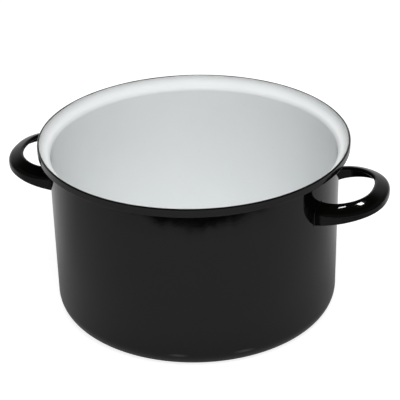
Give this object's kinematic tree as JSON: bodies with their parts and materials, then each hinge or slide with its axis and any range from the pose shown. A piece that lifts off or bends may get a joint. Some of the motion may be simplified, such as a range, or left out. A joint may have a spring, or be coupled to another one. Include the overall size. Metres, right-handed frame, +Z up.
{
  "type": "enamel pot",
  "caption": "Round straight-walled cooking pot of enamelled steel, dark outside and pale inside, with a flared rim for a lid and a loop handle on each side.",
  "frame": {"origin": "centre of the circle that the pot stands on, at table height", "axes": "+Z up along the pot's axis; +X through the middle of the right handle, -X through the left one; +Y away from the viewer's side"},
  "size_m": [0.331, 0.2606, 0.1523],
  "materials": {
    "body_enamel": "glossy vitreous enamel on steel, near-black outside and pale grey-white inside",
    "handle_enamel": "glossy black vitreous enamel on steel"
  },
  "bodies": {
    "root": {"pot_body": "body_enamel", "handle_left": "handle_enamel", "handle_right": "handle_enamel"}
  },
  "joints": []
}
